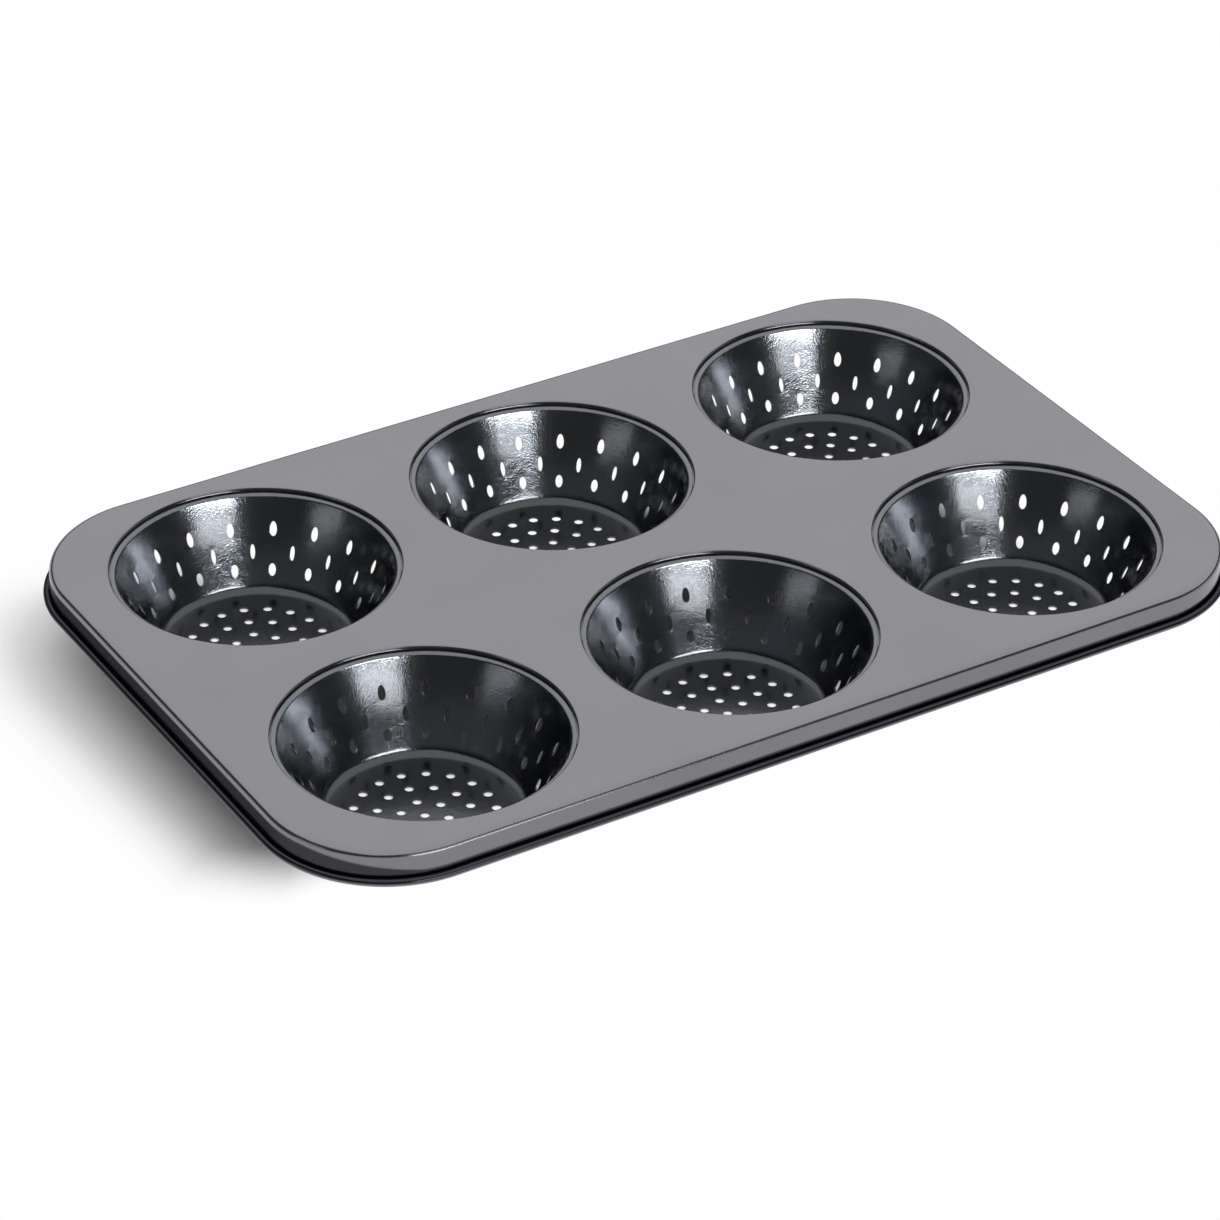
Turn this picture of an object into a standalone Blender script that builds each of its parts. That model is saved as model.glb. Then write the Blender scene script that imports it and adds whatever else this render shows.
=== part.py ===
"""Perforated muffin pan: a pressed steel deck that carries six drawn, perforated cups.

The deck is one sheet with a short skirt, which ends in a hem rolled round a stiffening wire.
Each cup is a drawing of its own. Its flange lies in a recess round a hole of the deck, and a
collar of the deck runs down beside its wall.
Lengths are in metres, +Z is up, and the cups stand on the plane Z = 0.
"""

import math

import bmesh
import bpy
from mathutils import Matrix, Vector

# Cup, with radii of its inner face
CUP_SHEET = 0.0005
CUP_DEPTH = 0.0279
MOUTH_RADIUS = 0.04005
BASE_RADIUS = 0.0288
FLANGE_WIDTH = 0.00145
LIP_RADIUS = 0.0012
FOOT_RADIUS = 0.0021

# Perforation of the base: rings of holes round one in the middle, inside a plain border
BASE_HOLE_DIAMETER = 0.0026
BASE_BORDER = 0.0089
BASE_RINGS = 3
HOLES_ADDED_PER_RING = 6

# Perforation of the wall: an upper row hung from the deck's top, a lower row above the base, one between
WALL_SLOTS_PER_ROW = 18
UPPER_ROW_DEPTH = 0.0093
UPPER_SLOT_WIDTH = 0.0024
UPPER_SLOT_HEIGHT = 0.0043
MIDDLE_ROW_SHARE = 0.52
MIDDLE_SLOT_WIDTH = 0.0016
MIDDLE_SLOT_HEIGHT = 0.0043
LOWER_ROW_RISE = 0.0066
LOWER_SLOT_WIDTH = 0.0024
LOWER_SLOT_HEIGHT = 0.0037

# Deck: sheet left between the recesses, and beyond the outer ones to the hem's outermost line
DECK_SHEET = 0.0005
WEB_ALONG = 0.0146
WEB_ACROSS = 0.0137
END_MARGIN = 0.0150
SIDE_MARGIN = 0.00955
PAN_CORNER_RADIUS = 0.0381

# Recess in the deck that carries a cup's flange, and the collar below it
CLEARANCE = 0.0003
FLANGE_STEP = 0.0013
RECESS_BEND_RADIUS = 0.0005
SEAT_BEND_RADIUS = 0.0004
COLLAR_HEIGHT = 0.0030

# Skirt and rolled hem
SKIRT_HEIGHT = 0.0086
SKIRT_DRAFT = 0.00047
SKIRT_BEND_RADIUS = 0.0009
HEM_RADIUS = 0.0012
HEM_WRAP_DEGREES = 288
WIRE_CLEARANCE = 0.00015

# Each cup was set into the deck at its own turn about its axis
CUP_TURN_DEGREES = {
    "cup_back_left": 14.6,
    "cup_back_middle": 55.3,
    "cup_back_right": 52.5,
    "cup_front_left": 19.7,
    "cup_front_middle": 17.6,
    "cup_front_right": 51.0,
}
COLUMN_OF = {"left": -1, "middle": 0, "right": 1}
ROW_OF = {"back": 1, "front": -1}

# Facets
FACETS_ROUND = 2 * WALL_SLOTS_PER_ROW
BEND_STEPS = 1
HEM_STEPS = 8
CORNER_STEPS = 7
WIRE_FACETS = 6
BASE_HOLE_FACETS = 6
WALL_SLOT_FACETS = 4
SMOOTH_ANGLE = math.radians(35)

# Sizes in plan that follow from the ones above
FLANGE_RADIUS = MOUTH_RADIUS + FLANGE_WIDTH
RECESS_RADIUS = FLANGE_RADIUS + CLEARANCE
CUP_PITCH_X = 2 * RECESS_RADIUS + WEB_ALONG
CUP_PITCH_Y = 2 * RECESS_RADIUS + WEB_ACROSS
PAN_LENGTH = 2 * (CUP_PITCH_X + RECESS_RADIUS + END_MARGIN)
PAN_WIDTH = CUP_PITCH_Y + 2 * (RECESS_RADIUS + SIDE_MARGIN)
BASE_RING_PITCH = (BASE_RADIUS - BASE_BORDER) / BASE_RINGS
HEM_FACET_SHARE = math.cos(math.radians(HEM_WRAP_DEGREES) / HEM_STEPS / 2)
CHANNEL_RADIUS = HEM_RADIUS - DECK_SHEET / HEM_FACET_SHARE

# Levels that follow from the ones above
DECK_TOP = CUP_SHEET + CUP_DEPTH
FLANGE_TOP = DECK_TOP - FLANGE_STEP
SEAT_TOP = FLANGE_TOP - CUP_SHEET - CLEARANCE
HEM_CENTRE_Z = DECK_TOP - SKIRT_HEIGHT
UPPER_ROW_Z = DECK_TOP - UPPER_ROW_DEPTH
LOWER_ROW_Z = CUP_SHEET + LOWER_ROW_RISE
MIDDLE_ROW_Z = UPPER_ROW_Z + (LOWER_ROW_Z - UPPER_ROW_Z) * MIDDLE_ROW_SHARE
WALL_LEAN = math.atan2(MOUTH_RADIUS - BASE_RADIUS, FLANGE_TOP - CUP_SHEET)


def clear_scene():
    for obj in list(bpy.data.objects):
        bpy.data.objects.remove(obj, do_unlink=True)


def finish_of(name, colour, roughness, metallic):
    """One material: a coating over steel, or the bare steel."""
    material = bpy.data.materials.new(name)
    material.use_nodes = True
    shader = material.node_tree.nodes["Principled BSDF"]
    shader.inputs["Base Color"].default_value = (*colour, 1)
    shader.inputs["Roughness"].default_value = roughness
    shader.inputs["Metallic"].default_value = metallic
    return material


def bend(before, corner, after, radius):
    """Points of the arc that rounds a corner of a path."""
    to_before = (before - corner).normalized()
    to_after = (after - corner).normalized()
    half_angle = to_before.angle(to_after) / 2
    centre = corner + (to_before + to_after).normalized() * radius / math.sin(half_angle)
    tangent_length = radius / math.tan(half_angle)
    first_spoke = (corner + to_before * tangent_length - centre).normalized()
    last_spoke = (corner + to_after * tangent_length - centre).normalized()
    return [centre + first_spoke.slerp(last_spoke, step / BEND_STEPS) * radius
            for step in range(BEND_STEPS + 1)]


def path_of(corners):
    """A path through (across, height) corners. A third number is the radius of a bend there."""
    places = [Vector(corner[:2]) for corner in corners]
    points = []
    for i, corner in enumerate(corners):
        if len(corner) == 2:
            points.append(places[i])
        else:
            points += bend(places[i - 1], places[i], places[i + 1], corner[2])
    return points


def sheet_section(face, thickness):
    """Both faces of a sheet, out along the given face and back along the other.

    A positive thickness lies to the right of the face's path. The path's first point only
    gives its first direction, and is left out.
    """
    other = []
    for i, point in enumerate(face):
        near = face[max(i - 1, 0):i + 2]
        normals = [Vector((way.y, -way.x)).normalized() for way in (b - a for a, b in zip(near, near[1:]))]
        mitre = sum(normals, Vector((0, 0))).normalized()
        other.append(point + mitre * thickness / mitre.dot(normals[0]))
    return face[1:] + other[:0:-1]


def pan_outline(inset, height):
    """A ring of points round the pan, this far inside the hem's outermost line."""
    radius = PAN_CORNER_RADIUS - inset
    corner_x = PAN_LENGTH / 2 - PAN_CORNER_RADIUS
    corner_y = PAN_WIDTH / 2 - PAN_CORNER_RADIUS
    ring = []
    for quarter, (side_x, side_y) in enumerate(((1, 1), (-1, 1), (-1, -1), (1, -1))):
        for step in range(CORNER_STEPS + 1):
            angle = math.pi / 2 * (quarter + step / CORNER_STEPS)
            x = side_x * corner_x + radius * math.cos(angle)
            y = side_y * corner_y + radius * math.sin(angle)
            ring.append((x, y, height))
    return ring


def circle(radius, height, turn=0, centre=(0, 0)):
    """A ring of points with the middle of a facet at the turn, where a wall slot sits."""
    ring = []
    for facet in range(FACETS_ROUND):
        angle = turn + 2 * math.pi * (facet + 1 / 2) / FACETS_ROUND
        ring.append((centre[0] + radius * math.cos(angle), centre[1] + radius * math.sin(angle), height))
    return ring


def skin(mesh, rings):
    """Bands of faces from ring to ring. Returns the edges of the first ring and of the last."""
    verts = [[mesh.verts.new(point) for point in ring] for ring in rings]
    for lower, upper in zip(verts, verts[1:]):
        for i in range(len(lower)):
            mesh.faces.new((lower[i - 1], lower[i], upper[i], upper[i - 1]))
    ends = []
    for ring in (verts[0], verts[-1]):
        ends.append([mesh.edges.get((ring[i - 1], ring[i])) for i in range(len(ring))])
    return ends


def object_of(mesh, name, material):
    """One object from a finished mesh, with its faces outwards."""
    bmesh.ops.recalc_face_normals(mesh, faces=mesh.faces)
    data = bpy.data.meshes.new(name)
    mesh.to_mesh(data)
    mesh.free()
    if material:
        data.materials.append(material)
    shade(data)
    obj = bpy.data.objects.new(name, data)
    bpy.context.scene.collection.objects.link(obj)
    return obj


def shade(data):
    data.shade_smooth()
    data.set_sharp_from_angle(angle=SMOOTH_ANGLE)


def cup_places():
    """The name, centre and turn of every cup."""
    places = []
    for name, degrees in CUP_TURN_DEGREES.items():
        row, column = name.split("_")[1:]
        centre = (COLUMN_OF[column] * CUP_PITCH_X, ROW_OF[row] * CUP_PITCH_Y / 2)
        places.append((name, centre, math.radians(degrees)))
    return places


def wall_radius(height, outwards=0):
    """Radius of the cup's straight wall at a height: its inner face, or this far out from it."""
    return BASE_RADIUS + (height - CUP_SHEET) * math.tan(WALL_LEAN) + outwards / math.cos(WALL_LEAN)


def rim_section():
    """The sheet from the deck's edge down the skirt and round the hem, as (inset, height)."""
    foot_inset = HEM_RADIUS + CHANNEL_RADIUS
    top_inset = foot_inset + SKIRT_DRAFT
    face = path_of([
        (top_inset + 2 * SKIRT_BEND_RADIUS, DECK_TOP),
        (top_inset, DECK_TOP, SKIRT_BEND_RADIUS),
        (foot_inset, HEM_CENTRE_Z),
    ])
    for step in range(1, HEM_STEPS + 1):
        angle = math.radians(HEM_WRAP_DEGREES) * step / HEM_STEPS
        inset = HEM_RADIUS + CHANNEL_RADIUS * math.cos(angle)
        face.append(Vector((inset, HEM_CENTRE_Z - CHANNEL_RADIUS * math.sin(angle))))
    return sheet_section(face, -DECK_SHEET)


def recess_section():
    """The sheet from the deck down the recess, across the seat and down the collar, as (radius, height)."""
    beside_cup = CUP_SHEET + CLEARANCE
    collar_foot = SEAT_TOP - COLLAR_HEIGHT
    face = path_of([
        (RECESS_RADIUS + 2 * RECESS_BEND_RADIUS, DECK_TOP),
        (RECESS_RADIUS, DECK_TOP, RECESS_BEND_RADIUS),
        (RECESS_RADIUS, SEAT_TOP),
        (wall_radius(SEAT_TOP, beside_cup), SEAT_TOP, SEAT_BEND_RADIUS),
        (wall_radius(collar_foot, beside_cup), collar_foot),
    ])
    return sheet_section(face, -DECK_SHEET)


def make_deck(material):
    """The deck: a flat sheet between the rim's skin and the skins of the six recesses."""
    mesh = bmesh.new()
    top, underside = skin(mesh, [pan_outline(*point) for point in rim_section()])
    for _, centre, turn in cup_places():
        ends = skin(mesh, [circle(*point, turn, centre) for point in recess_section()])
        top += ends[0]
        underside += ends[1]
    bmesh.ops.triangle_fill(mesh, use_beauty=True, edges=top, normal=(0, 0, 1))
    bmesh.ops.triangle_fill(mesh, use_beauty=True, edges=underside, normal=(0, 0, -1))
    return object_of(mesh, "deck", material)


def make_rim_wire(material):
    """The wire inside the hem, with its ends welded to make one ring."""
    mesh = bmesh.new()
    wire_radius = CHANNEL_RADIUS * HEM_FACET_SHARE - WIRE_CLEARANCE
    rings = []
    for facet in range(WIRE_FACETS + 1):
        angle = 2 * math.pi * facet / WIRE_FACETS
        inset = HEM_RADIUS + wire_radius * math.cos(angle)
        rings.append(pan_outline(inset, HEM_CENTRE_Z + wire_radius * math.sin(angle)))
    skin(mesh, rings)
    bmesh.ops.remove_doubles(mesh, verts=mesh.verts, dist=wire_radius / 100)
    return object_of(mesh, "rim_wire", material)


def add_punch(mesh, place, width, height, facets):
    """One straight punch through the cup's sheet, with its flats on the hole's width."""
    corner_share = 1 / math.cos(math.pi / facets)
    half_width = width / 2 * corner_share
    stretch = Matrix.Diagonal((1, height / width, 1, 1))
    flat_first = Matrix.Rotation(math.pi / facets, 4, "Z")
    bmesh.ops.create_cone(
        mesh, cap_ends=True, segments=facets, radius1=half_width, radius2=half_width,
        depth=3 * CUP_SHEET, matrix=place @ stretch @ flat_first)


def punches():
    """Every punch of a cup in one mesh: the rings of the base, then the rows of the wall."""
    mesh = bmesh.new()
    for ring in range(BASE_RINGS + 1):
        holes = max(1, ring * HOLES_ADDED_PER_RING)
        for hole in range(holes):
            turn = Matrix.Rotation(2 * math.pi * hole / holes, 4, "Z")
            place = turn @ Matrix.Translation((ring * BASE_RING_PITCH, 0, CUP_SHEET / 2))
            add_punch(mesh, place, BASE_HOLE_DIAMETER, BASE_HOLE_DIAMETER, BASE_HOLE_FACETS)
    rows = (
        (UPPER_ROW_Z, UPPER_SLOT_WIDTH, UPPER_SLOT_HEIGHT, 0),
        (MIDDLE_ROW_Z, MIDDLE_SLOT_WIDTH, MIDDLE_SLOT_HEIGHT, 1 / 2),
        (LOWER_ROW_Z, LOWER_SLOT_WIDTH, LOWER_SLOT_HEIGHT, 0),
    )
    # A punch's own X runs round the cup, its Y up the wall and its Z out through the wall
    outwards = Matrix.Rotation(math.pi / 2 + WALL_LEAN, 4, "Y") @ Matrix.Rotation(math.pi / 2, 4, "Z")
    for level, width, height, stagger_share in rows:
        radius = wall_radius(level, CUP_SHEET / 2) * math.cos(math.pi / FACETS_ROUND)
        for slot in range(WALL_SLOTS_PER_ROW):
            turn = Matrix.Rotation(2 * math.pi * (slot + stagger_share) / WALL_SLOTS_PER_ROW, 4, "Z")
            place = turn @ Matrix.Translation((radius, 0, level)) @ outwards
            add_punch(mesh, place, width, height, WALL_SLOT_FACETS)
    return object_of(mesh, "punches", None)


def perforated_cup(material):
    """The drawn cup with its holes, at the origin and unturned. All six cups share it."""
    mesh = bmesh.new()
    face = path_of([
        (0, CUP_SHEET),
        (BASE_RADIUS, CUP_SHEET, FOOT_RADIUS),
        (MOUTH_RADIUS, FLANGE_TOP, LIP_RADIUS),
        (FLANGE_RADIUS, FLANGE_TOP),
    ])
    ends = skin(mesh, [circle(*point) for point in sheet_section(face, CUP_SHEET)])
    for edges in ends:
        bmesh.ops.contextual_create(mesh, geom=edges)
    blank = object_of(mesh, "cup_blank", material)
    cutter = punches()
    perforation = blank.modifiers.new("perforation", "BOOLEAN")
    perforation.operation = "DIFFERENCE"
    perforation.solver = "EXACT"
    perforation.object = cutter
    graph = bpy.context.evaluated_depsgraph_get()
    cut = bpy.data.meshes.new_from_object(blank.evaluated_get(graph))
    cut.name = "perforated_cup"
    shade(cut)
    bpy.data.objects.remove(blank, do_unlink=True)
    bpy.data.objects.remove(cutter, do_unlink=True)
    return cut


def make_cups(material):
    shared = perforated_cup(material)
    for name, centre, turn in cup_places():
        cup = bpy.data.objects.new(name, shared)
        cup.location = (*centre, 0)
        cup.rotation_euler = (0, 0, turn)
        bpy.context.scene.collection.objects.link(cup)


clear_scene()
make_deck(finish_of("satin_grey_coating", (0.105, 0.105, 0.115), 0.42, 0.35))
make_rim_wire(finish_of("steel_wire", (0.45, 0.45, 0.45), 0.35, 1))
make_cups(finish_of("dark_gloss_coating", (0.018, 0.021, 0.025), 0.25, 0.4))
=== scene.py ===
import math

import bmesh
import bpy
from mathutils import Matrix, Vector


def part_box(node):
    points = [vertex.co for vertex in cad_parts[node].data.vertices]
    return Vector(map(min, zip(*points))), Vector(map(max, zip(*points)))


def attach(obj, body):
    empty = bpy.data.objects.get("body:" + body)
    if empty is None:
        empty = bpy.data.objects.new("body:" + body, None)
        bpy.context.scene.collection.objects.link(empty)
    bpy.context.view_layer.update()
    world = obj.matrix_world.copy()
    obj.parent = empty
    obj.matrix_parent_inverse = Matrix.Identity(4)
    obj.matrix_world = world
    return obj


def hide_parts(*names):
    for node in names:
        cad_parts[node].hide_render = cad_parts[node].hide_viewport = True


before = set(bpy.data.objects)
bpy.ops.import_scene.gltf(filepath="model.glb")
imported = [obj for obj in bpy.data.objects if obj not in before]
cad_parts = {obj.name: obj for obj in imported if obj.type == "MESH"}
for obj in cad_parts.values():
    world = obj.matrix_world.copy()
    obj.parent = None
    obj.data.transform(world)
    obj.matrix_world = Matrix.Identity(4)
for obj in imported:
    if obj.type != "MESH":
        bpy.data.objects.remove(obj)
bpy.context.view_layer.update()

# Camera: the pan was photographed from its front left, from well above and through a long lens,
# so the back row looks hardly smaller than the front row. The right corner is just cropped.
deck_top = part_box("deck")[1].z
photo_pixels = 1220
focal_pixels = 4824.5
camera_distance = 1.3562
camera_turn = math.radians(-31.72)
camera_tilt = math.radians(90 - 32.96)
camera_roll = math.radians(0.73)
look_at = Vector((-0.02366, -0.02295, deck_top))

camera_data = bpy.data.cameras.new("camera")
camera_data.lens = camera_data.sensor_width * focal_pixels / photo_pixels
camera = bpy.data.objects.new("camera", camera_data)
aim = Matrix.Rotation(camera_turn, 4, "Z") @ Matrix.Rotation(camera_tilt, 4, "X")
aim = aim @ Matrix.Rotation(camera_roll, 4, "Z")
back_off = Matrix.Translation((0, 0, camera_distance))
camera.matrix_world = Matrix.Translation(look_at) @ aim @ back_off
bpy.context.scene.collection.objects.link(camera)
bpy.context.scene.camera = camera

# Deck: one sheet of steel, pressed with six stepped holes and a short skirt, which is rolled
# outwards at its foot round a wire. It carries a satin non-stick coat, sprayed and baked on.
sheet = 0.0005
deck_half_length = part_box("deck")[1].x
deck_half_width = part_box("deck")[1].y
corner_radius = 0.0381
corner_steps = 24
skirt_bend = 0.00185
skirt_draft = 0.0001
hem_radius = 0.0012
hem_level = deck_top - 0.0086
hem_wrap = math.radians(288)
recess_radius = 0.0418
recess_sides = 144
recess_bend = 0.0005
flange_step = 0.0013
cup_clearance = 0.0003
collar_height = 0.0030
mouth_radius = 0.04005
base_radius = 0.0288
arc_step = math.radians(12)
sharp_angle = math.radians(40)
merge_distance = 0.00001

cups = [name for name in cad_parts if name.startswith("cup")]
cup_centres = {name: (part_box(name)[0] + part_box(name)[1]) / 2 * Vector((1, 1, 0)) for name in cups}


def arc(centre, radius, start, end):
    """Points of an arc from one angle to another, in a (radius, height) section."""
    steps = max(1, round(abs(end - start) / arc_step))
    angles = [start + (end - start) * step / steps for step in range(steps + 1)]
    return [Vector((centre[0] + radius * math.cos(angle), centre[1] + radius * math.sin(angle)))
            for angle in angles]


def section_through(corners):
    """A section through (radius, height) corners. A third number rounds that corner."""
    points = []
    for i, corner in enumerate(corners):
        here = Vector(corner[:2])
        if len(corner) == 2:
            points.append(here)
            continue
        back = (Vector(corners[i - 1][:2]) - here).normalized()
        ahead = (Vector(corners[i + 1][:2]) - here).normalized()
        half_angle = back.angle(ahead) / 2
        middle = here + (back + ahead).normalized() * corner[2] / math.sin(half_angle)
        first = here + back * corner[2] / math.tan(half_angle) - middle
        last = here + ahead * corner[2] / math.tan(half_angle) - middle
        start = math.atan2(first.y, first.x)
        sweep = (math.atan2(last.y, last.x) - start + math.pi) % (2 * math.pi) - math.pi
        points += arc(middle, corner[2], start, start + sweep)
    return points


def edges_at(verts):
    """The edges at these vertices, each one once and in the same order in every run."""
    return list(dict.fromkeys(edge for vert in verts for edge in vert.link_edges))


def pull(mesh, edges, section, centre_of):
    """Extrudes a ring of edges through a (radius, height) section and returns the last ring."""
    for radius, height in section:
        made = bmesh.ops.extrude_edge_only(mesh, edges=edges)["geom"]
        edges = [item for item in made if isinstance(item, bmesh.types.BMEdge)]
        for vert in {vert for edge in edges for vert in edge.verts}:
            centre = centre_of(vert.co)
            spoke = Vector((vert.co.x - centre.x, vert.co.y - centre.y, 0)).normalized()
            vert.co = Vector((centre.x, centre.y, height)) + spoke * radius
    return edges


def nearest_corner(point):
    """The centre of the pan's rounded corner in this point's quarter."""
    return Vector((math.copysign(deck_half_length - corner_radius, point.x),
                   math.copysign(deck_half_width - corner_radius, point.y)))


# The rim's section, with radii from the centres of the rounded corners
hem_centre = (corner_radius - hem_radius, hem_level)
skirt_foot = hem_centre[0] - hem_radius + sheet
skirt_top = skirt_foot - skirt_draft
flat_end = skirt_top - 2 * skirt_bend
hem_end = math.pi + hem_wrap
rim_section = section_through([
    (flat_end, deck_top), (skirt_top, deck_top, skirt_bend), (skirt_foot, hem_level)])
rim_section += arc(hem_centre, hem_radius - sheet, math.pi, hem_end)[1:]
rim_section += arc(hem_centre, hem_radius, hem_end, math.pi)
rim_section += section_through([
    (skirt_foot - sheet, hem_level), (skirt_top - sheet, deck_top - sheet, skirt_bend - sheet),
    (flat_end, deck_top - sheet)])[1:]

# The section of a recess, with the seat that the cup's flange lies on and the collar round the
# cup's wall
recess_edge = recess_radius + 3 * recess_bend
flange_top = deck_top - flange_step
seat_top = flange_top - sheet - cup_clearance
collar_foot = seat_top - collar_height
wall_slope_share = (mouth_radius - base_radius) / (flange_top - sheet)
near_wall = sheet + cup_clearance
far_wall = near_wall + sheet


def wall_radius(height, outwards=0):
    """Radius at this level of the cup's wall, and this far outside its inner face."""
    inside = base_radius + (height - sheet) * wall_slope_share
    return inside + outwards * math.hypot(1, wall_slope_share)


recess_section = section_through([
    (recess_edge, deck_top), (recess_radius, deck_top, recess_bend), (recess_radius, seat_top),
    (wall_radius(seat_top, near_wall), seat_top, near_wall / 2),
    (wall_radius(collar_foot, near_wall), collar_foot),
    (wall_radius(collar_foot, far_wall), collar_foot),
    (wall_radius(seat_top - sheet, far_wall), seat_top - sheet, sheet / 4),
    (recess_radius + sheet, seat_top - sheet, sheet), (recess_radius + sheet, deck_top - sheet),
    (recess_edge, deck_top - sheet)])

deck_mesh = bmesh.new()
flat_size = Matrix.Diagonal((2 * deck_half_length, 2 * deck_half_width, 1, 1))
bmesh.ops.create_grid(deck_mesh, x_segments=1, y_segments=1, size=0.5, matrix=flat_size)
bmesh.ops.bevel(deck_mesh, geom=deck_mesh.verts[:], offset=corner_radius, segments=corner_steps,
                profile=0.5, affect="VERTICES", material=-1)
outline_verts = deck_mesh.verts[:]
top_edges = pull(deck_mesh, deck_mesh.edges[:], rim_section[:1], nearest_corner)
bmesh.ops.delete(deck_mesh, geom=outline_verts, context="VERTS")
underside_edges = pull(deck_mesh, top_edges, rim_section[1:], nearest_corner)
for centre in cup_centres.values():
    spot = Matrix.Translation((centre.x, centre.y, deck_top))
    round_edge = bmesh.ops.create_circle(deck_mesh, segments=recess_sides, radius=recess_edge,
                                         matrix=spot)
    mouth = edges_at(round_edge["verts"])
    top_edges += mouth
    underside_edges += pull(deck_mesh, mouth, recess_section[1:],
                            lambda point, centre=centre: centre)
bmesh.ops.triangle_fill(deck_mesh, use_beauty=True, edges=top_edges, normal=(0, 0, 1))
bmesh.ops.triangle_fill(deck_mesh, use_beauty=True, edges=underside_edges, normal=(0, 0, -1))
bmesh.ops.remove_doubles(deck_mesh, verts=deck_mesh.verts, dist=merge_distance)


def hex_colour(text):
    """An sRGB colour such as 8a8a90, turned linear."""
    shares = [int(text[i:i + 2], 16) / 255 for i in (0, 2, 4)]
    return [c / 12.92 if c <= 0.04045 else ((c + 0.055) / 1.055) ** 2.4 for c in shares] + [1]


def add_node(material, kind, settings, links):
    """One node, with its settings and with a link into each named socket."""
    node = material.node_tree.nodes.new(kind)
    for name, value in settings.items():
        if name in node.inputs:
            node.inputs[name].default_value = value
        else:
            setattr(node, name, value)
    for name, source in links.items():
        material.node_tree.links.new(source, node.inputs[name])
    return node


def new_material(name, roughness, metallic=0):
    """An empty material with one shader, and what its patterns need of it."""
    material = bpy.data.materials.new(name)
    material.use_nodes = True
    shader = material.node_tree.nodes["Principled BSDF"]
    shader.inputs["Roughness"].default_value = roughness
    shader.inputs["Metallic"].default_value = metallic
    place = add_node(material, "ShaderNodeTexCoord", {}, {}).outputs["Object"]
    return material, shader, place


def finish_piece(name, data, material, node):
    """A mesh becomes a piece of the pan, in its material and in the place of a CAD node."""
    data.materials.append(material)
    data.shade_smooth()
    data.set_sharp_from_angle(angle=sharp_angle)
    piece = bpy.data.objects.new(name, data)
    bpy.context.scene.collection.objects.link(piece)
    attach(piece, "root")
    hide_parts(node)
    return piece


def mesh_data(name, mesh):
    """The bmesh as a mesh, with its normals outwards."""
    bmesh.ops.recalc_face_normals(mesh, faces=mesh.faces)
    data = bpy.data.meshes.new(name)
    mesh.to_mesh(data)
    mesh.free()
    return data


# Satin non-stick coat: an even, slightly violet grey with fine metal flake in it, so its gloss is
# that of metal. Its grain is under a tenth of a millimetre, drawn coarser here to show, and it
# breaks up the broad reflections.
satin_coat, shader, place = new_material("satin_non_stick_coat", roughness=0.19, metallic=0.95)
cloud = add_node(satin_coat, "ShaderNodeTexNoise", {"Scale": 1 / 0.03, "Detail": 1},
                 {"Vector": place})
tint = add_node(satin_coat, "ShaderNodeMixRGB",
                {"Color1": hex_colour("7b7a7f"), "Color2": hex_colour("818085")},
                {"Fac": cloud.outputs["Fac"]})
grain = add_node(satin_coat, "ShaderNodeTexNoise", {"Scale": 1 / 0.0006, "Detail": 2},
                 {"Vector": place})
bump = add_node(satin_coat, "ShaderNodeBump", {"Strength": 0.2, "Distance": 0.00004},
                {"Height": grain.outputs["Fac"]})
# Painted shade: the skirt is painted dark in the fold above the hem, and the dark reaches further
# up on the left. There its reflection is dimmed too, a painted darkening of the reflection.
shade_full_below = deck_top - 0.0065
shade_end_above = deck_top - 0.0056
left_shade_rise_height = 0.0038
left_shade_rise_start = -0.125
left_shade_rise_full = -0.150
hem_fade = 0.0003
axes = add_node(satin_coat, "ShaderNodeSeparateXYZ", {}, {"Vector": place})
left_shade_rise = add_node(satin_coat, "ShaderNodeMapRange",
                     {"From Min": left_shade_rise_full, "From Max": left_shade_rise_start,
                      "To Min": left_shade_rise_height, "To Max": 0},
                     {"Value": axes.outputs["X"]})
level = add_node(satin_coat, "ShaderNodeMath", {"operation": "SUBTRACT"},
                 {0: axes.outputs["Z"], 1: left_shade_rise.outputs["Result"]})
above = add_node(satin_coat, "ShaderNodeMapRange",
                 {"interpolation_type": "SMOOTHSTEP", "From Min": shade_full_below,
                  "From Max": shade_end_above},
                 {"Value": level.outputs["Value"]})
below = add_node(satin_coat, "ShaderNodeMapRange",
                 {"interpolation_type": "SMOOTHSTEP", "From Min": hem_level - hem_fade,
                  "From Max": hem_level + hem_fade, "To Min": 1, "To Max": 0},
                 {"Value": axes.outputs["Z"]})
unshaded = add_node(satin_coat, "ShaderNodeMath", {"operation": "MAXIMUM"},
                {0: above.outputs["Result"], 1: below.outputs["Result"]})
# Painted shade: the dark 3a3a40 is mixed in where the skirt is painted dark.
tint = add_node(satin_coat, "ShaderNodeMixRGB", {"Color1": hex_colour("3a3a40")},
                {"Fac": unshaded.outputs["Value"], "Color2": tint.outputs["Color"]})
# Painted shade in the reflection: the specular tint is greyer where the skirt is painted dark.
shaded_specular_tint = add_node(satin_coat, "ShaderNodeMixRGB",
                     {"Color1": hex_colour("aaaaaa"), "Color2": hex_colour("ffffff")},
                     {"Fac": unshaded.outputs["Value"]})
satin_coat.node_tree.links.new(tint.outputs["Color"], shader.inputs["Base Color"])
satin_coat.node_tree.links.new(shaded_specular_tint.outputs["Color"], shader.inputs["Specular Tint"])
satin_coat.node_tree.links.new(bump.outputs["Normal"], shader.inputs["Normal"])
finish_piece("pressed_deck", mesh_data("pressed_deck", deck_mesh), satin_coat, "deck")

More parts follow.
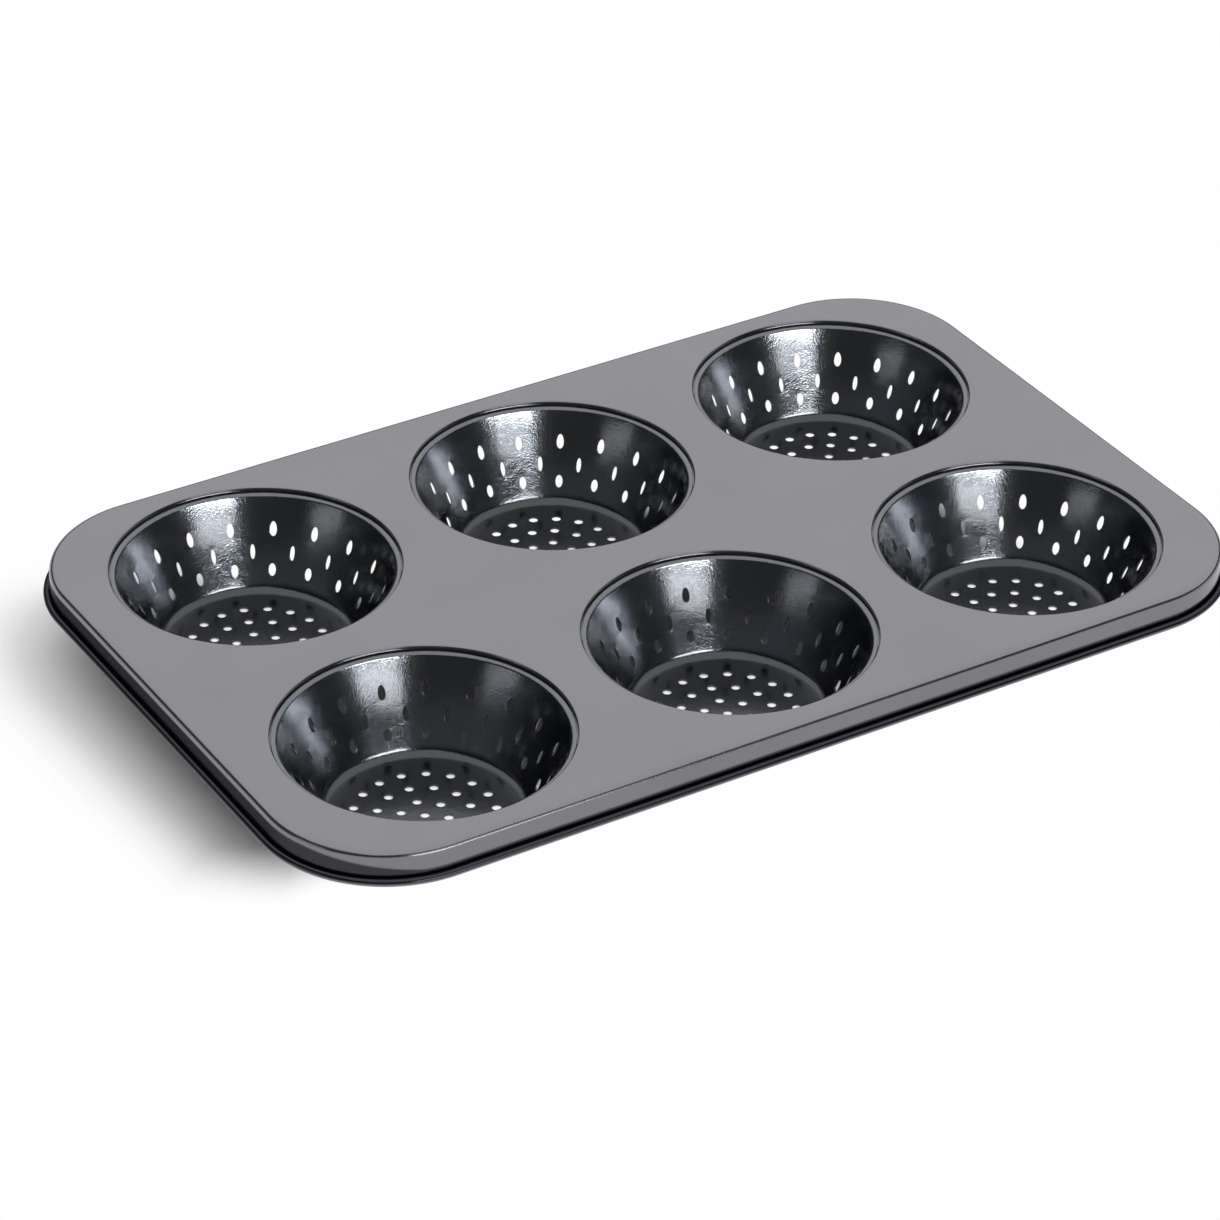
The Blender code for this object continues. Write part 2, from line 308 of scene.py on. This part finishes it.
# Rim wire: drawn steel wire, hidden inside the rolled hem and seen only through the hem's fine
# gap. Drawing leaves it bright, with faint streaks along it.
drawn_steel, shader, place = new_material("drawn_steel_wire", roughness=0.35, metallic=1)
streaks = add_node(drawn_steel, "ShaderNodeTexNoise", {"Scale": 1 / 0.002, "Detail": 2},
                   {"Vector": place})
tint = add_node(drawn_steel, "ShaderNodeMixRGB",
                {"Color1": hex_colour("a9a9a6"), "Color2": hex_colour("c4c4c2")},
                {"Fac": streaks.outputs["Fac"]})
drawn_steel.node_tree.links.new(tint.outputs["Color"], shader.inputs["Base Color"])
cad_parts["rim_wire"].material_slots[0].material = drawn_steel

# Cups: each is a round blank, punched and then drawn down, which stretched the holes of its wall
# into ovals. The flange lies in the deck's recess. All six are alike but for their turn.
cup_turns = {
    "cup_back_left": 14.6,
    "cup_back_middle": 55.3,
    "cup_back_right": 52.5,
    "cup_front_left": 19.7,
    "cup_front_middle": 17.6,
    "cup_front_right": 51.0,
}
flange_radius = recess_radius - cup_clearance
lip_radius = 0.0012
foot_radius = 0.0033
columns = 72
hole_sides = 16
slots_per_row = 18
cell_turn = 2 * math.pi / slots_per_row
# Level of the middle of each row, half width, half height, how egg-shaped, and stagger in cells
slot_rows = [
    (0.0178, 0.00105, 0.00205, 0.12, 0),
    (0.0115, 0.00068, 0.00205, 0, 0.5),
    (0.0066, 0.00105, 0.00175, 0, 0),
]
row_borders = [0.0211, 0.0146, 0.0090, 0.0038]
base_rings = 3
base_ring_pitch = 0.00663
base_hole_radius = 0.0013
edge_break_width = 0.0001
edge_break_angle = math.radians(60)


def spin_section(mesh, section):
    """A section of (radius, height) points, turned into a full band about the cup's axis."""
    verts = [mesh.verts.new((radius, 0, height)) for radius, height in section]
    edges = [mesh.edges.new(pair) for pair in zip(verts, verts[1:])]
    bmesh.ops.spin(mesh, geom=verts + edges, cent=(0, 0, 0), axis=(0, 0, 1), angle=2 * math.pi,
                   steps=columns, use_merge=True, use_duplicate=False)


def square_side(turn):
    """How far over to one side of a square its edge is, for a turn from that side's middle."""
    turn = (turn + math.pi) % (2 * math.pi) - math.pi
    return max(-1, min(1, 2 - 4 * abs(turn) / math.pi))


def punch_row(mesh, top, bottom, row):
    """One slot's edge, extruded in two steps to its cell's border, and repeated round the wall."""
    middle, half_width, half_height, egg_share, stagger = row
    rings = [bmesh.ops.create_circle(mesh, segments=hole_sides, radius=1)["verts"]]
    edges = edges_at(rings[0])
    cell = rings[0] + edges
    for _ in range(2):
        made = bmesh.ops.extrude_edge_only(mesh, edges=edges)["geom"]
        edges = [item for item in made if isinstance(item, bmesh.types.BMEdge)]
        rings.append([item for item in made if isinstance(item, bmesh.types.BMVert)])
        cell += made
    for step, verts in enumerate(rings):
        for vert in verts:
            around = math.atan2(vert.co.y, vert.co.x)
            wide = half_width / wall_radius(middle) * (1 - egg_share * math.sin(around))
            slot = Vector((wide * math.cos(around), half_height * math.sin(around)))
            rise = square_side(around - math.pi / 2)
            room = top - middle if rise > 0 else middle - bottom
            border = Vector((square_side(around) * cell_turn / 2, rise * room))
            turn, height = slot.lerp(border, step / 2) + Vector((stagger * cell_turn, middle))
            vert.co = Matrix.Rotation(turn, 3, "Z") @ Vector((wall_radius(height), 0, height))
    bmesh.ops.spin(mesh, geom=cell, cent=(0, 0, 0), axis=(0, 0, 1), angle=2 * math.pi - cell_turn,
                   steps=slots_per_row - 1, use_duplicate=True)


cup_mesh = bmesh.new()
cup_section = section_through([
    (flange_radius, flange_top), (mouth_radius, flange_top, lip_radius),
    (base_radius, sheet, foot_radius), (base_radius / 2, sheet)])[:-1]
upper_border, lower_border = [Vector((wall_radius(level), level))
                              for level in (row_borders[0], row_borders[-1])]
above_slots = [point for point in cup_section if point.y > upper_border.y]
below_slots = [point for point in cup_section if point.y < lower_border.y]
spin_section(cup_mesh, above_slots + [upper_border])
spin_section(cup_mesh, [lower_border] + below_slots)
for top, bottom, row in zip(row_borders, row_borders[1:], slot_rows):
    punch_row(cup_mesh, top, bottom, row)
bmesh.ops.remove_doubles(cup_mesh, verts=cup_mesh.verts, dist=merge_distance)
base_edges = [edge for edge in cup_mesh.edges
              if all(vert.co.z < sheet + merge_distance for vert in edge.verts)]
# The base's holes: one in the middle, and round rings of 6, 12 and 18 about it
for ring in range(base_rings + 1):
    holes = max(1, 6 * ring)
    for step in range(holes):
        turn = Matrix.Rotation(2 * math.pi * step / holes, 3, "Z")
        spot = turn @ Vector((ring * base_ring_pitch, 0, 0))
        hole = bmesh.ops.create_circle(cup_mesh, segments=hole_sides, radius=base_hole_radius,
                                       matrix=Matrix.Translation((spot.x, spot.y, sheet)))
        base_edges += edges_at(hole["verts"])
bmesh.ops.triangle_fill(cup_mesh, use_beauty=True, edges=base_edges, normal=(0, 0, 1))
bmesh.ops.recalc_face_normals(cup_mesh, faces=cup_mesh.faces)
if min(cup_mesh.faces, key=lambda face: face.calc_center_median().z).normal.z < 0:
    bmesh.ops.reverse_faces(cup_mesh, faces=cup_mesh.faces)
bmesh.ops.solidify(cup_mesh, geom=cup_mesh.faces, thickness=sheet)
cup_data = mesh_data("drawn_cup", cup_mesh)

# Gloss non-stick coat: near black and slightly blue, with metal flake under a clear top layer. It
# was sprayed and dried with an orange peel of one to two millimetres, which breaks each reflection
# into mottles. The flake is finer than it is drawn here, and gives them their grain.
gloss_coat, shader, place = new_material("gloss_non_stick_coat", roughness=0.15, metallic=1)
shader.inputs["Coat Weight"].default_value = 0.5
shader.inputs["Coat Roughness"].default_value = 0.1
cloud = add_node(gloss_coat, "ShaderNodeTexNoise", {"Scale": 1 / 0.012, "Detail": 1},
                 {"Vector": place})
tint = add_node(gloss_coat, "ShaderNodeMixRGB",
                {"Color1": hex_colour("5f6267"), "Color2": hex_colour("66696e")},
                {"Fac": cloud.outputs["Fac"]})
peel = add_node(gloss_coat, "ShaderNodeTexNoise", {"Scale": 1 / 0.0018, "Detail": 2},
                {"Vector": place})
peel_bump = add_node(gloss_coat, "ShaderNodeBump", {"Strength": 1, "Distance": 0.00002},
                     {"Height": peel.outputs["Fac"]})
flake = add_node(gloss_coat, "ShaderNodeTexNoise", {"Scale": 1 / 0.00045, "Detail": 1},
                 {"Vector": place})
flake_bump = add_node(gloss_coat, "ShaderNodeBump", {"Strength": 1, "Distance": 0.00004},
                      {"Height": flake.outputs["Fac"], "Normal": peel_bump.outputs["Normal"]})
# Painted shade: the coat is painted darker on the base and in the hollow round it.
base_shade_below = 0.0020
base_shade_end = 0.0034
axes = add_node(gloss_coat, "ShaderNodeSeparateXYZ", {}, {"Vector": place})
above_base_shade = add_node(gloss_coat, "ShaderNodeMapRange",
                        {"From Min": base_shade_below, "From Max": base_shade_end},
                        {"Value": axes.outputs["Z"]})
# Painted shade: the dark 3d3f42 is mixed in on the base and in the hollow round it.
tint = add_node(gloss_coat, "ShaderNodeMixRGB", {"Color1": hex_colour("3d3f42")},
                {"Fac": above_base_shade.outputs["Result"], "Color2": tint.outputs["Color"]})
gloss_coat.node_tree.links.new(tint.outputs["Color"], shader.inputs["Base Color"])
gloss_coat.node_tree.links.new(flake_bump.outputs["Normal"], shader.inputs["Normal"])
gloss_coat.node_tree.links.new(peel_bump.outputs["Normal"], shader.inputs["Coat Normal"])

drawn_cups = []
for name in cups:
    turn = Matrix.Rotation(math.radians(cup_turns[name]), 4, "Z")
    data = cup_data.copy()
    data.transform(Matrix.Translation(cup_centres[name]) @ turn)
    piece = finish_piece(name.replace("cup", "drawn_cup"), data, gloss_coat, name)
    edge_break = piece.modifiers.new("edge_break", "BEVEL")
    edge_break.width = edge_break_width
    edge_break.segments = 1
    edge_break.angle_limit = edge_break_angle
    edge_break.harden_normals = True
    drawn_cups.append(piece)

# Studio: a white card that the cups stand on. A wide overhead panel and a key lamp, both above on
# the right, light the pan, so the shadow falls to the left. Soft panels in front and on the left
# are there for the coats to mirror.
bpy.context.scene.view_settings.view_transform = "Standard"
# Under the pan and to its left the card shows light and shadow. Outside that it turns plain white.
floor_level = -0.0001
shaded = [(-0.152, -0.030), (-0.132, -0.040), (-0.105, -0.042), (0.110, -0.044), (0.110, 0.052),
          (-0.080, 0.052), (-0.120, 0.095), (-0.150, 0.105), (-0.160, 0.060)]
plain_from = [(-0.180, -0.048), (-0.153, -0.066), (-0.105, -0.064), (0.128, -0.066),
              (0.128, 0.066), (-0.070, 0.066), (-0.115, 0.137), (-0.160, 0.137), (-0.190, 0.070)]
shade_middle = -0.035
far_factor = 200
far_edge = [((x - shade_middle) * far_factor, y * far_factor) for x, y in plain_from]
floor_mesh = bmesh.new()
plainness = floor_mesh.verts.layers.float.new("plainness")
rings = [[floor_mesh.verts.new((x, y, floor_level)) for x, y in ring]
         for ring in (shaded, plain_from, far_edge)]
for vert in rings[1] + rings[2]:
    vert[plainness] = 1
floor_mesh.faces.new(rings[0])
for inner, outer in zip(rings, rings[1:]):
    for i in range(len(inner)):
        floor_mesh.faces.new((inner[i - 1], inner[i], outer[i], outer[i - 1]))
floor_data = mesh_data("floor", floor_mesh)

# White card: smooth matt board, rolled and left uncoated, so it has soft shadows and no gloss. Its
# plain part is pure white to the camera and in the pan's reflections.
white_card, shader, _ = new_material("white_card", roughness=0.9)
shader.inputs["Base Color"].default_value = hex_colour("fafafa")
shader.inputs["Specular IOR Level"].default_value = 0
plain = add_node(white_card, "ShaderNodeAttribute", {"attribute_name": "plainness"}, {})
plain = add_node(white_card, "ShaderNodeMapRange", {"interpolation_type": "SMOOTHSTEP"},
                 {"Value": plain.outputs["Fac"]})
rays = add_node(white_card, "ShaderNodeLightPath", {}, {})
seen = add_node(white_card, "ShaderNodeMath", {"operation": "ADD"},
                {0: rays.outputs["Is Camera Ray"], 1: rays.outputs["Is Glossy Ray"]})
seen = add_node(white_card, "ShaderNodeMath", {"operation": "ADD"},
                {0: seen.outputs["Value"], 1: rays.outputs["Is Transmission Ray"]})
share = add_node(white_card, "ShaderNodeMath", {"operation": "MULTIPLY"},
                 {0: plain.outputs["Result"], 1: seen.outputs["Value"]})
white = add_node(white_card, "ShaderNodeEmission", {"Strength": 1}, {})
mix = add_node(white_card, "ShaderNodeMixShader", {},
               {0: share.outputs["Value"], 1: shader.outputs["BSDF"],
                2: white.outputs["Emission"]})
card_surface = white_card.node_tree.nodes["Material Output"].inputs["Surface"]
white_card.node_tree.links.new(mix.outputs["Shader"], card_surface)
floor_data.materials.append(white_card)
floor = bpy.data.objects.new("floor", floor_data)
bpy.context.scene.collection.objects.link(floor)


def soft_lamp(name, place, size, power, mirrored):
    """A rectangular lamp that faces the pan. It either lights it or is only mirrored in it."""
    data = bpy.data.lights.new(name, "AREA")
    data.shape = "RECTANGLE"
    data.size, data.size_y = size
    data.energy = power
    lamp = bpy.data.objects.new(name, data)
    aim = Vector(place).to_track_quat("Z", "Y").to_matrix().to_4x4()
    lamp.matrix_world = Matrix.Translation(place) @ aim
    lamp.visible_glossy = mirrored
    lamp.visible_diffuse = not mirrored
    bpy.context.scene.collection.objects.link(lamp)
    return lamp


soft_lamp("key_lamp", (0.45, -0.30, 1.15), (0.50, 0.50), 3, mirrored=False)
# The front panel keeps the deck grey as seen from behind, and the low one gives the streak on the
# bend along its front. The bright cup panel is mirrored only in the cups: the satin deck would
# flare with it.
soft_lamp("front_panel", (0.076, -1.442, 0.634), (0.96, 0.35), 1.2, mirrored=True)
soft_lamp("low_panel", (0.076, -1.555, 0.230), (0.96, 0.30), 5, mirrored=True)
cup_panel = soft_lamp("cup_panel", (0.142, -1.347, 0.646), (0.98, 0.26), 16, mirrored=True)
in_cups = bpy.data.collections.new("in_cups")
for piece in drawn_cups:
    in_cups.objects.link(piece)
cup_panel.light_linking.receiver_collection = in_cups
soft_lamp("left_panel", (-1.40, 0.00, 0.26), (0.60, 0.22), 0.42, mirrored=True)

# The overhead panel is square and faces straight down. Mirrored in the deck, it gives its grey.
overhead_data = bpy.data.lights.new("overhead_panel", "AREA")
overhead_data.size = 5.6
overhead_data.energy = 113
overhead = bpy.data.objects.new("overhead_panel", overhead_data)
overhead.location = (1.4, 1.2, 1.5)
bpy.context.scene.collection.objects.link(overhead)

# A faint white world lifts the darkest parts.
world = bpy.data.worlds.new("studio")
bpy.context.scene.world = world
world.use_nodes = True
world.node_tree.nodes["Background"].inputs["Color"].default_value = (1, 1, 1, 1)
world.node_tree.nodes["Background"].inputs["Strength"].default_value = 0.1
